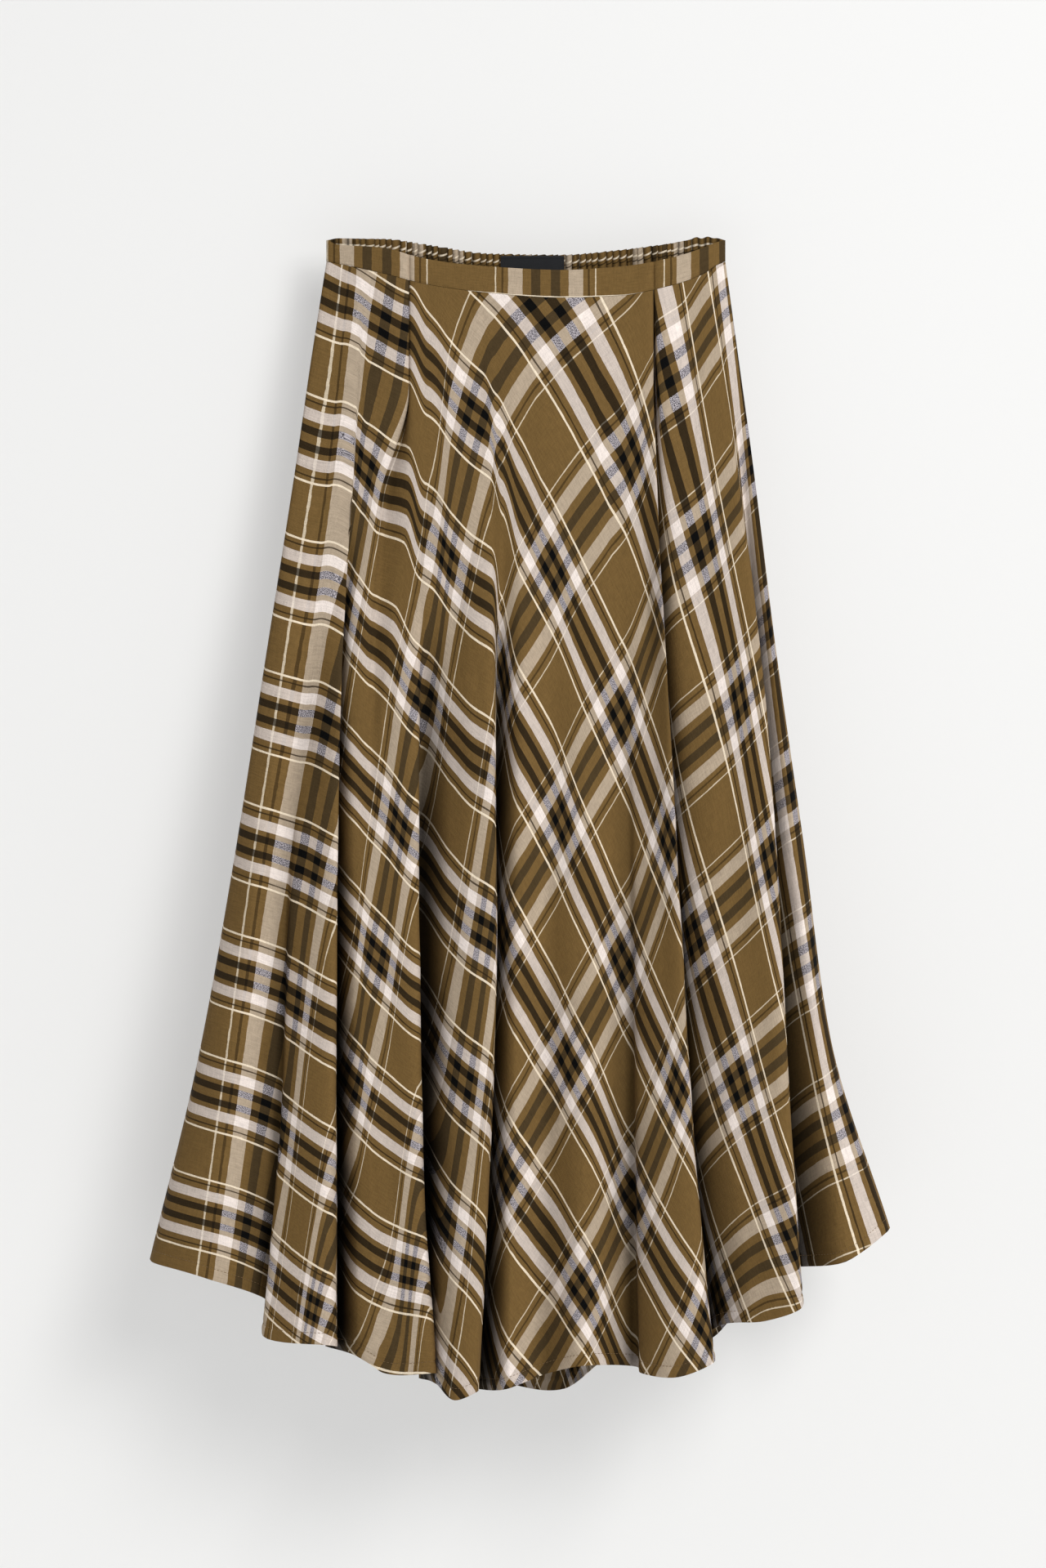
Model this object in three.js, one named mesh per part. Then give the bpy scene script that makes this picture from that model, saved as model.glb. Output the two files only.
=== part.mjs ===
import * as THREE from 'three';

// A gathered-back midi skirt with two stitched tucks, hanging from its waistband.
// Millimetres, +Z up, the front faces -Y. The origin is at the waist line's corners.

// Driving sizes
const CLOTH = 1.2;               // wall of the skirt panels
const HEM_CLOTH = 1.8;           // wall where the hem is turned up
const HEM_TURN = 0.011;          // height of the turned hem, as a share of the length
const BAND_CLOTH = 1.8;          // wall of the doubled waistband
const BAND_PROUD = 0.4;          // how far the band stands out from the panels
const SEAM_GAP = 0.3;            // clearance between sewn pieces
const WAIST_LEFT = -165;
const WAIST_RIGHT = 167;
const WAIST_BOW = 11;            // how far front and back bow apart at the waist
const BODY_BOW = 22;             // further bow between waist and hem
const TUCK_DEPTH = 10;           // how far a stitched tuck reaches inside
const TUCK_END = 0.1;            // share of the length that a tuck is stitched
const SIDE_TURN = { in: 0.12, out: 0.45 };  // how tightly a panel turns at its side seams
const SIDE_CLEAR = { from: 0.2, over: 0.4 };  // where ruches and gathers fade at the sides
const LABEL = { width: 53, height: 20, thick: 1, x: 6.5, top: -14 };

// Mesh density
const FRONT_STEPS = 3;           // columns between two fold lines
const BACK_STEPS = 4;
const ROWS = 12;

// Elastic back waistband and the gathers that run on below it
const RUCHES = 60;
const RUCHE_STEPS = 3;
const RUCHE_DEPTH = 0.9;
const BACK_GATHERS = 18;
const GATHER_DEPTH = 1.6;
const GATHER_END = 0.09;         // share of the length over which gathers die out

// Heights of the waistband's edges at stations across the waist
const WAIST_COLUMNS = ['x', 'backTop', 'backSeam', 'frontTop', 'frontSeam'];
const WAIST = [
  [-165, -2, -20, -2, -20],
  [-155, 0, -22, -6, -22],
  [-120, 0, -25, -9, -30],
  [-80, -5, -30, -19, -40],
  [-30, -12, -36, -25, -47],
  [30, -13, -37, -28, -51],
  [80, -9, -33, -25, -49],
  [120, -4, -28, -18, -41],
  [148, 0, -24, -9, -31],
  [160, 0, -21, -4, -23],
  [167, -2, -20, -2, -20],
];

// Front fold lines from the left side seam to the right one: x at shares of the length,
// height of the hem, depth at the hem (ridges are negative), and where the fold starts.
const LEVELS = [0, 0.1, 0.2, 0.4, 0.6, 0.8, 1];
const FRONT_FOLDS = [
  { name: 'side_left', x: [-165, -178, -190, -216, -242, -272, -312], hem: -850, depth: 0, start: 0 },
  { name: 'flute_a', x: [-156, -165, -175, -196, -220, -242, -265], hem: -860, depth: -45, start: 0.25 },
  { name: 'valley_ab', x: [-148, -156, -164, -183, -201, -206, -213], hem: -884, depth: -4, start: 0.45 },
  { name: 'flute_b_left', x: [-143, -150, -157, -174, -191, -199, -215], hem: -908, depth: -48, start: 0.45 },
  { name: 'flute_b_right', x: [-136, -139, -143, -152, -156, -158, -158], hem: -914, depth: -62, start: 0.3 },
  { name: 'valley_bc', x: [-131, -135, -138, -148, -149, -149, -152], hem: -927, depth: 14, start: 0.28 },
  { name: 'flute_c_left', x: [-127, -130, -134, -142, -144, -143, -140], hem: -924, depth: -50, start: 0.28 },
  { name: 'tuck_left_out', x: [-97, -97, -120, -131, -131, -129, -123], hem: -932, depth: -60, start: 0.3 },
  { name: 'tuck_left_in', x: [-96, -96, -109, -124, -123, -122, -115], hem: -936, depth: -61, start: 0.3,
    tuckOut: 0.38 },
  { name: 'tuck_left_edge', x: [-95, -95, -97, -115, -115, -113, -103], hem: -938, depth: -64, start: 0.3 },
  { name: 'flute_c_right', x: [-81, -83, -85, -89, -88, -85, -73], hem: -936, depth: -66, start: 0.3 },
  { name: 'valley_cd', x: [-75, -75, -76, -78, -80, -79, -76], hem: -952, depth: 6, start: 0.3 },
  { name: 'flute_d_left', x: [-64, -62, -60, -60, -64, -67, -73], hem: -946, depth: -60, start: 0.3 },
  { name: 'flute_d', x: [-52, -48, -44, -43, -44, -48, -57], hem: -956, depth: -82, start: 0.22 },
  { name: 'flute_d_right', x: [-40, -34, -28, -26, -24, -30, -39], hem: -950, depth: -78, start: 0.16 },
  { name: 'valley_de', x: [-31, -24, -21, -20, -25, -34, -44], hem: -961, depth: 18, start: 0.16 },
  { name: 'flute_e_left', x: [-17, -7, -1, 0, -5, -7, -13], hem: -951, depth: -50, start: 0.16 },
  { name: 'dip_e', x: [4, 9, 14, 23, 19, 18, 15], hem: -942, depth: -32, start: 0.3 },
  { name: 'flute_e_right', x: [33, 37, 42, 49, 51, 51, 47], hem: -932, depth: -52, start: 0.3 },
  { name: 'valley_ef', x: [58, 62, 68, 79, 84, 86, 88], hem: -936, depth: 0, start: 0.35 },
  { name: 'flute_f_left', x: [72, 78, 83, 90, 93, 94, 96], hem: -938, depth: -52, start: 0.35 },
  { name: 'flute_f', x: [90, 94, 98, 105, 111, 116, 125], hem: -938, depth: -76, start: 0.3 },
  { name: 'tuck_right_edge', x: [106, 107, 110, 119, 128, 138, 154], hem: -927, depth: -72, start: 0.1 },
  { name: 'tuck_right_in', x: [107, 108, 111, 117, 124, 133, 150], hem: -924, depth: -10, start: 0.1,
    tuckOut: 3 },
  { name: 'tuck_right_out', x: [108, 112, 118, 129, 138, 148, 164], hem: -900, depth: -34, start: 0.2 },
  { name: 'flute_g_left', x: [128, 138, 147, 165, 175, 184, 197], hem: -895, depth: -54, start: 0.16 },
  { name: 'flute_g', x: [149, 163, 176, 197, 208, 216, 227], hem: -883, depth: -62, start: 0.12 },
  { name: 'valley_gh', x: [157, 171, 182, 198, 206, 214, 225], hem: -861, depth: 8, start: 0.15 },
  { name: 'flute_h', x: [162, 175, 185, 205, 223, 242, 265], hem: -849, depth: -30, start: 0.2 },
  { name: 'side_right', x: [167, 178, 189, 209, 232, 254, 304], hem: -824, depth: 0, start: 0 },
];

// Back fold lines: place across the width at the waist and the hem, as for the front otherwise.
const BACK_FOLDS = [
  { name: 'side_left', waist: 0, foot: 0, hem: -850, depth: 0, start: 0 },
  { name: 'flute_1', waist: 0.06, foot: 0.055, hem: -862, depth: 70, start: 0.1 },
  { name: 'valley_1', waist: 0.125, foot: 0.12, hem: -878, depth: 38, start: 0.1 },
  { name: 'flute_2', waist: 0.18, foot: 0.175, hem: -893, depth: 98, start: 0.18 },
  { name: 'valley_2', waist: 0.25, foot: 0.245, hem: -910, depth: 42, start: 0.1 },
  { name: 'flute_3', waist: 0.31, foot: 0.3, hem: -924, depth: 106, start: 0.12 },
  { name: 'valley_3', waist: 0.375, foot: 0.37, hem: -938, depth: 44, start: 0.1 },
  { name: 'flute_4', waist: 0.43, foot: 0.43, hem: -950, depth: 110, start: 0.2 },
  { name: 'valley_4', waist: 0.5, foot: 0.5, hem: -962, depth: 46, start: 0.1 },
  { name: 'flute_5', waist: 0.56, foot: 0.565, hem: -972, depth: 108, start: 0.14 },
  { name: 'valley_5', waist: 0.625, foot: 0.63, hem: -934, depth: 44, start: 0.1 },
  { name: 'flute_6', waist: 0.69, foot: 0.7, hem: -938, depth: 104, start: 0.2 },
  { name: 'valley_6', waist: 0.75, foot: 0.76, hem: -922, depth: 42, start: 0.1 },
  { name: 'flute_7', waist: 0.81, foot: 0.82, hem: -890, depth: 96, start: 0.12 },
  { name: 'valley_7', waist: 0.875, foot: 0.88, hem: -857, depth: 38, start: 0.1 },
  { name: 'flute_8', waist: 0.94, foot: 0.945, hem: -850, depth: 66, start: 0.16 },
  { name: 'side_right', waist: 1, foot: 1, hem: -824, depth: 0, start: 0 },
];

const lerp = THREE.MathUtils.lerp;
const clamp = THREE.MathUtils.clamp;

// Slope at a knot of a curve that never overshoots its values.
function knotSlope(knots, values, k) {
  if (k === 0 || k === knots.length - 1) {
    const a = Math.min(k, knots.length - 2);
    return (values[a + 1] - values[a]) / (knots[a + 1] - knots[a]);
  }
  const before = (values[k] - values[k - 1]) / (knots[k] - knots[k - 1]);
  const after = (values[k + 1] - values[k]) / (knots[k + 1] - knots[k]);
  return before * after > 0 ? (2 * before * after) / (before + after) : 0;
}

// Smooth value at a place along knots.
function smoothAt(knots, values, at) {
  let k = 0;
  while (k < knots.length - 2 && at > knots[k + 1]) k += 1;
  const span = knots[k + 1] - knots[k];
  const u = clamp((at - knots[k]) / span, 0, 1);
  const u2 = u * u;
  const u3 = u2 * u;
  return values[k] * (2 * u3 - 3 * u2 + 1) + values[k + 1] * (3 * u2 - 2 * u3)
    + knotSlope(knots, values, k) * span * (u3 - 2 * u2 + u)
    + knotSlope(knots, values, k + 1) * span * (u3 - u2);
}

const waistStations = WAIST.map((row) => row[0]);
const waistEdges = Object.fromEntries(
  WAIST_COLUMNS.map((column, i) => [column, WAIST.map((row) => row[i])]),
);

function waistHeight(edge, x) {
  return smoothAt(waistStations, waistEdges[edge], clamp(x, WAIST_LEFT, WAIST_RIGHT));
}

// Share of the full bow at x between two side edges: 1 in the middle, 0 at the sides.
function bowShare(x, left, right) {
  const u = clamp((2 * x - left - right) / (right - left), -1, 1);
  return Math.sqrt(Math.max(0, 1 - u * u));
}

function bowAt(t) {
  return WAIST_BOW * (1 - t) + BODY_BOW * t * (1 - t);
}

function foldGrowth(fold, t) {
  return Math.max(0, (t - fold.start) / (1 - fold.start));
}

// How far a tuck's inner fold still reaches inside; tuckOut is the length over which it opens out.
function tuckDepth(fold, t) {
  if (!fold.tuckOut) return 0;
  return TUCK_DEPTH * Math.max(0, 1 - Math.max(0, t - TUCK_END) / fold.tuckOut);
}

const frontEdges = [FRONT_FOLDS[0], FRONT_FOLDS[FRONT_FOLDS.length - 1]];

function sideX(t) {
  return frontEdges.map((edge) => smoothAt(LEVELS, edge.x, t));
}

// Point of a front fold line at a share of the length.
function frontFoldPoint(fold, t) {
  const [left, right] = sideX(t);
  const x = smoothAt(LEVELS, fold.x, t);
  const top = waistHeight('frontSeam', fold.x[0]);
  const bow = bowAt(t) * bowShare(x, left, right);
  const y = fold.depth * foldGrowth(fold, t) - bow + tuckDepth(fold, t) - SEAM_GAP / 2;
  return new THREE.Vector3(x, y, lerp(top, fold.hem, t));
}

function backFoldPoint(fold, t) {
  const [left, right] = sideX(t);
  const share = lerp(fold.waist, fold.foot, t);
  const x = lerp(left, right, share);
  const top = waistHeight('backSeam', lerp(WAIST_LEFT, WAIST_RIGHT, fold.waist));
  const y = fold.depth * foldGrowth(fold, t) + bowAt(t) * bowShare(x, left, right) + SEAM_GAP / 2;
  return new THREE.Vector3(x, y, lerp(top, fold.hem, t));
}

// A round turn at each side seam: a point close to the side, set well in from it.
function roundedAtSides(points) {
  const turn = (side, next) => new THREE.Vector3(
    lerp(side.x, next.x, SIDE_TURN.in),
    lerp(side.y, next.y, SIDE_TURN.out),
    lerp(side.z, next.z, SIDE_TURN.in),
  );
  const last = points.length - 1;
  return [points[0], turn(points[0], points[1]), ...points.slice(1, last),
    turn(points[last], points[last - 1]), points[last]];
}

// One level line of a panel through its fold lines.
function levelLine(folds, foldPoint, t, steps) {
  const knots = roundedAtSides(folds.map((fold) => foldPoint(fold, t)));
  const curve = new THREE.CatmullRomCurve3(knots, false, 'centripetal');
  return curve.getPoints((knots.length - 1) * steps);
}

// Unit vector out of the cloth at one grid point; outward is -1 for the front and 1 for the back.
function outwardAt(grid, r, c, outward) {
  const lastColumn = grid[0].length - 1;
  if (c === 0) return new THREE.Vector3(-1, 0, 0);
  if (c === lastColumn) return new THREE.Vector3(1, 0, 0);
  const here = grid[r][c];
  const before = here.clone().sub(grid[r][c - 1]).normalize();
  const after = grid[r][c + 1].clone().sub(here).normalize();
  const across = before.add(after);
  const down = grid[Math.min(r + 1, grid.length - 1)][c].clone().sub(grid[Math.max(r - 1, 0)][c]);
  return across.cross(down).multiplyScalar(outward).normalize();
}

// A closed wall between an outer grid and the same grid moved in by a thickness for each row.
function wallGeometry(grid, outward, thicknessOf) {
  const rows = grid.length;
  const columns = grid[0].length;
  const positions = [];
  grid.forEach((line) => line.forEach((p) => positions.push(p.x, p.y, p.z)));
  grid.forEach((line, r) => line.forEach((p, c) => {
    const q = p.clone().addScaledVector(outwardAt(grid, r, c, outward), -thicknessOf(r));
    positions.push(q.x, q.y, q.z);
  }));
  const inner = rows * columns;
  const triangles = [];
  const add = (a, b, c) => triangles.push(...(outward < 0 ? [a, b, c] : [a, c, b]));
  for (let r = 0; r < rows - 1; r += 1) {
    for (let c = 0; c < columns - 1; c += 1) {
      const a = r * columns + c;
      const d = a + columns;
      add(a, d, a + 1);
      add(a + 1, d, d + 1);
      add(inner + a, inner + a + 1, inner + d);
      add(inner + a + 1, inner + d + 1, inner + d);
    }
  }
  const rim = [];
  for (let c = 0; c < columns - 1; c += 1) rim.push(c);
  for (let r = 0; r < rows - 1; r += 1) rim.push(r * columns + columns - 1);
  for (let c = columns - 1; c > 0; c -= 1) rim.push((rows - 1) * columns + c);
  for (let r = rows - 1; r > 0; r -= 1) rim.push(r * columns);
  rim.forEach((p, i) => {
    const q = rim[(i + 1) % rim.length];
    add(p, q, inner + q);
    add(p, inner + q, inner + p);
  });
  const geometry = new THREE.BufferGeometry();
  geometry.setAttribute('position', new THREE.Float32BufferAttribute(positions, 3));
  geometry.setIndex(triangles);
  geometry.computeVertexNormals();
  return geometry;
}

// Shares of the length at which a panel has rows, with two more for the turned hem.
function panelRows() {
  const rows = [];
  for (let r = 0; r <= ROWS; r += 1) rows.push((r / ROWS) * (1 - 2 * HEM_TURN));
  return [...rows, 1 - HEM_TURN, 1];
}

// A panel's grid: level lines whose heights run evenly from the waist seam to the hem.
function panelGrid(folds, foldPoint, seamEdge, steps) {
  const waistLine = levelLine(folds, foldPoint, 0, steps);
  const hemLine = levelLine(folds, foldPoint, 1, steps);
  return panelRows().map((t) => levelLine(folds, foldPoint, t, steps).map((p, c) => {
    const top = waistHeight(seamEdge, waistLine[c].x) - SEAM_GAP / 2;
    return new THREE.Vector3(p.x, p.y, lerp(top, hemLine[c].z, t));
  }));
}

function hemThickness(r) {
  return panelRows()[r] >= 1 - HEM_TURN ? HEM_CLOTH : CLOTH;
}

const frontGrid = panelGrid(FRONT_FOLDS, frontFoldPoint, 'frontSeam', FRONT_STEPS);

function backGrid() {
  const rows = panelRows();
  return panelGrid(BACK_FOLDS, backFoldPoint, 'backSeam', BACK_STEPS).map((line, r) => {
    const fade = Math.max(0, 1 - rows[r] / GATHER_END);
    return line.map((p, c) => {
      const share = c / (line.length - 1);
      const wave = Math.cos(2 * Math.PI * BACK_GATHERS * share) - 1;
      const depth = (GATHER_DEPTH / 2) * fade * clearOfSides(share);
      return new THREE.Vector3(p.x, p.y + depth * wave, p.z);
    });
  });
}

// 0 at the side seams, 1 from a little way in.
function clearOfSides(share) {
  return clamp((4 * share * (1 - share) - SIDE_CLEAR.from) / SIDE_CLEAR.over, 0, 1);
}

// The front waistband lies flat over the panel's own waist line and skips the tucks.
function frontBandLine() {
  return frontGrid[0].filter((p) => {
    const bow = WAIST_BOW * bowShare(p.x, WAIST_LEFT, WAIST_RIGHT);
    return p.y + bow < TUCK_DEPTH / 5;
  });
}

// The back waistband runs evenly across, in ruches drawn up by its elastic.
function backBandLine() {
  const steps = RUCHES * RUCHE_STEPS;
  const line = [];
  for (let c = 0; c <= steps; c += 1) {
    const share = c / steps;
    const x = lerp(WAIST_LEFT, WAIST_RIGHT, share);
    const ruche = RUCHE_DEPTH * clearOfSides(share) * Math.cos(2 * Math.PI * RUCHES * share);
    const bow = WAIST_BOW * bowShare(x, WAIST_LEFT, WAIST_RIGHT);
    line.push(new THREE.Vector3(x, bow + ruche + SEAM_GAP / 2, 0));
  }
  return line;
}

function waistband(side, line, topEdge, seamEdge) {
  const grid = [0, 0.5, 1].map((down) => line.map((p) => {
    const top = waistHeight(topEdge, p.x);
    const seam = waistHeight(seamEdge, p.x) + SEAM_GAP / 2;
    const share = (p.x - WAIST_LEFT) / (WAIST_RIGHT - WAIST_LEFT);
    return new THREE.Vector3(p.x, p.y + side * BAND_PROUD * clearOfSides(share), lerp(top, seam, down));
  }));
  return wallGeometry(grid, side, () => BAND_CLOTH);
}

function waistLabel() {
  const geometry = new THREE.BoxGeometry(LABEL.width, LABEL.thick, LABEL.height, 4, 1, 2);
  const bandInside = WAIST_BOW + BAND_PROUD - BAND_CLOTH - RUCHE_DEPTH;
  geometry.translate(LABEL.x, bandInside - SEAM_GAP - LABEL.thick / 2, LABEL.top - LABEL.height / 2);
  return geometry;
}

function cloth(colour) {
  return new THREE.MeshStandardMaterial({ color: colour, roughness: 0.85, metalness: 0 });
}

function piece(name, geometry, material) {
  const mesh = new THREE.Mesh(geometry, material);
  mesh.name = name;
  return mesh;
}

const checked = cloth(0x8a6a40);
const black = cloth(0x23262d);

const group = new THREE.Group();
group.add(
  piece('panel_front', wallGeometry(frontGrid, -1, hemThickness), checked),
  piece('panel_back', wallGeometry(backGrid(), 1, hemThickness), checked),
  piece('waistband_front', waistband(-1, frontBandLine(), 'frontTop', 'frontSeam'), checked),
  piece('waistband_back', waistband(1, backBandLine(), 'backTop', 'backSeam'), checked),
  piece('label', waistLabel(), black),
);

export default group;
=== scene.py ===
import math

import bpy
import numpy as np
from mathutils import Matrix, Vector


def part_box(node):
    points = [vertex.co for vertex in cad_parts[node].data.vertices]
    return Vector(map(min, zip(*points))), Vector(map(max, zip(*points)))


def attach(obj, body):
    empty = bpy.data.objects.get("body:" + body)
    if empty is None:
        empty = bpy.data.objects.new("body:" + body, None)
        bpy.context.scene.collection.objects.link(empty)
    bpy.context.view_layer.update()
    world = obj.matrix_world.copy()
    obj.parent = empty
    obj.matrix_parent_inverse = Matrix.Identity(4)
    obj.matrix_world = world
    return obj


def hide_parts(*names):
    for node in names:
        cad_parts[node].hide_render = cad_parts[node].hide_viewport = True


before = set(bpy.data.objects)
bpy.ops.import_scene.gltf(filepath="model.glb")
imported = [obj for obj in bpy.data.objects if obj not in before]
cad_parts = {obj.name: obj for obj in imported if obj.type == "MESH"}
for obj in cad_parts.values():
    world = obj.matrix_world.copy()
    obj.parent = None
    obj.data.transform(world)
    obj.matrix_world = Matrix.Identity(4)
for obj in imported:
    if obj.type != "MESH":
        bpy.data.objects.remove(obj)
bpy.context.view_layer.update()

MM = 0.001
TINY = 1e-9


def place_object(name, data):
    obj = bpy.data.objects.new(name, data)
    bpy.context.scene.collection.objects.link(obj)
    return obj


# Camera

CAMERA_AT = (-0.0014, -3.63, -0.4546)
VIEW_HEIGHT = 1.305              # of the skirt's plane that the photograph shows
SENSOR = 36

camera_data = bpy.data.cameras.new("camera")
camera_data.sensor_width = SENSOR
camera_data.lens = SENSOR * -CAMERA_AT[1] / VIEW_HEIGHT
camera = place_object("camera", camera_data)
camera.location = CAMERA_AT
camera.rotation_euler = (math.radians(90), 0, 0)
bpy.context.scene.camera = camera
bpy.context.scene.view_settings.view_transform = "Standard"

# The skirt's sizes, in millimetres: x to the viewer's right, y away from them, z up from the waist

WAIST_LEFT, WAIST_RIGHT = -165, 167
WAIST_BOW, BODY_BOW = 11, 22     # how far front and back bow apart at the waist and over the body
TUCK_DEPTH, TUCK_END = 10, 0.1   # a tuck is sewn down over this share of the length
GAP = 0.3                        # at the seams
VALLEY_RISE = 0.6                # front valleys deepen early, below where they start
CLOTH, BAND_CLOTH = 0.7, 1.5
EDGE_CLOTH, EDGE_BAND = 0.35, 0.4        # shares of the thickness left at the side seams
EDGE_COLUMNS, EDGE_BAND_COLUMNS = 12, 10
BAND_HEIGHT, BAND_PROUD = 24, 0.4
LABEL_WIDTH, LABEL_HEIGHT, LABEL_CLOTH = 53, 20, 0.5
HEM_TURN = 9.5
HEM_GROOVE, HEM_GROOVE_WIDTH, HEM_PUFF = 0.5, 2.2, 0.35
HEM_PUCKER, HEM_PUCKER_REACH = 0.3, 14
RUCHES, RUCHE_DEPTH = 60, 1.9
BACK_GATHERS, GATHER_DEPTH, GATHER_END = 18, 1.6, 0.09

# x, then the heights of the back band's top and seam and the front band's top and seam
WAIST = np.array([
    [-165, -2, -20, -2, -20],
    [-155, 0, -22, -6, -22],
    [-120, 0, -25, -9, -30],
    [-80, -5, -30, -19, -40],
    [-30, -12, -36, -25, -47],
    [30, -13, -37, -28, -51],
    [80, -9, -33, -25, -49],
    [120, -4, -28, -18, -41],
    [148, 0, -24, -9, -31],
    [160, 0, -21, -4, -23],
    [167, -2, -20, -2, -20],
], float)
BACK_TOP, BACK_SEAM, FRONT_TOP, FRONT_SEAM = 1, 2, 3, 4

# Fold lines of the front: name, x at the LEVELS of the length, hem height, depth at the hem, the share
# of the length where that depth starts, and over how much of it a tuck opens below its stitching
LEVELS = [0, 0.1, 0.2, 0.4, 0.6, 0.8, 1]
FRONT_FOLDS = [
    ("side_left", (-165, -178, -190, -216, -242, -272, -312), -850, 0, 0, 0),
    ("flute_a", (-156, -165, -175, -196, -220, -242, -265), -860, -45, 0.25, 0),
    ("valley_ab", (-148, -156, -164, -182, -197, -203, -208), -886, -22, 0.45, 0),
    ("flute_b_left", (-143, -150, -157, -174, -191, -199, -215), -908, -48, 0.45, 0),
    ("flute_b_right", (-136, -139, -143, -152, -156, -158, -158), -914, -62, 0.3, 0),
    ("valley_bc", (-131, -136, -142, -157, -163, -164, -166), -927, 32, 0.24, 0),
    ("flute_c_left", (-127, -130, -134, -145, -142, -140, -138), -924, -52, 0.28, 0),
    ("tuck_left_out", (-97, -97, -120, -131, -131, -129, -123), -932, -60, 0.3, 0),
    ("tuck_left_in", (-96, -96, -115, -126, -127, -125, -117), -936, -61, 0.3, 0.42),
    ("tuck_left_edge", (-95, -95, -97, -115, -115, -113, -103), -938, -64, 0.3, 0),
    ("flute_c_right", (-81, -83, -85, -89, -88, -85, -73), -936, -66, 0.3, 0),
    ("valley_cd", (-75, -76, -79, -85, -92, -92, -88), -952, 22, 0.3, 0),
    ("flute_d_left", (-64, -62, -60, -60, -64, -67, -73), -946, -60, 0.3, 0),
    ("flute_d", (-52, -48, -44, -43, -44, -48, -57), -956, -82, 0.22, 0),
    ("flute_d_right", (-40, -34, -28, -26, -24, -30, -39), -950, -78, 0.2, 0),
    ("valley_de", (-31, -24, -19, -24, -35, -44, -52), -961, 36, 0.3, 0),
    ("flute_e_left", (-17, -8, -4, -5, -9, -11, -15), -951, -52, 0.2, 0),
    ("dip_e", (4, 9, 14, 23, 19, 18, 15), -942, -32, 0.3, 0),
    ("flute_e_right", (33, 37, 42, 49, 51, 51, 47), -932, -52, 0.3, 0),
    ("valley_ef", (58, 63, 70, 82, 87, 89, 92), -936, -26, 0.35, 0),
    ("flute_f_left", (72, 78, 83, 90, 93, 94, 96), -938, -52, 0.35, 0),
    ("flute_f", (90, 94, 98, 105, 111, 116, 125), -938, -76, 0.3, 0),
    ("tuck_right_edge", (106, 107, 110, 119, 128, 138, 154), -927, -72, 0.1, 0),
    ("tuck_right_in", (107, 107, 108, 113, 119, 127, 142), -924, 6, 0.1, 3),
    ("tuck_right_out", (108, 112, 118, 129, 138, 148, 164), -900, -34, 0.2, 0),
    ("flute_g_left", (128, 138, 147, 165, 175, 184, 197), -895, -54, 0.16, 0),
    ("flute_g", (149, 163, 176, 197, 208, 216, 227), -883, -62, 0.12, 0),
    ("valley_gh", (157, 170, 180, 193, 200, 207, 216), -861, 16, 0.15, 0),
    ("flute_h", (162, 175, 185, 205, 223, 242, 265), -849, -30, 0.2, 0),
    ("side_right", (167, 178, 189, 209, 232, 254, 304), -824, 0, 0, 0),
]

# Fold lines of the back: share across at the waist and the hem, hem height, depth at the hem, start
BACK_FOLDS = [
    (0, 0, -850, 0, 0),
    (0.06, 0.055, -862, 70, 0.1),
    (0.125, 0.12, -878, 38, 0.1),
    (0.18, 0.175, -893, 98, 0.18),
    (0.25, 0.245, -910, 56, 0.1),
    (0.31, 0.3, -924, 106, 0.12),
    (0.375, 0.37, -938, 44, 0.1),
    (0.43, 0.43, -950, 110, 0.2),
    (0.5, 0.5, -962, 46, 0.1),
    (0.56, 0.565, -972, 108, 0.14),
    (0.625, 0.63, -934, 44, 0.1),
    (0.69, 0.7, -938, 104, 0.2),
    (0.75, 0.76, -922, 42, 0.1),
    (0.81, 0.82, -890, 96, 0.12),
    (0.875, 0.88, -857, 38, 0.1),
    (0.94, 0.945, -850, 66, 0.16),
    (1, 1, -824, 0, 0),
]

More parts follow.
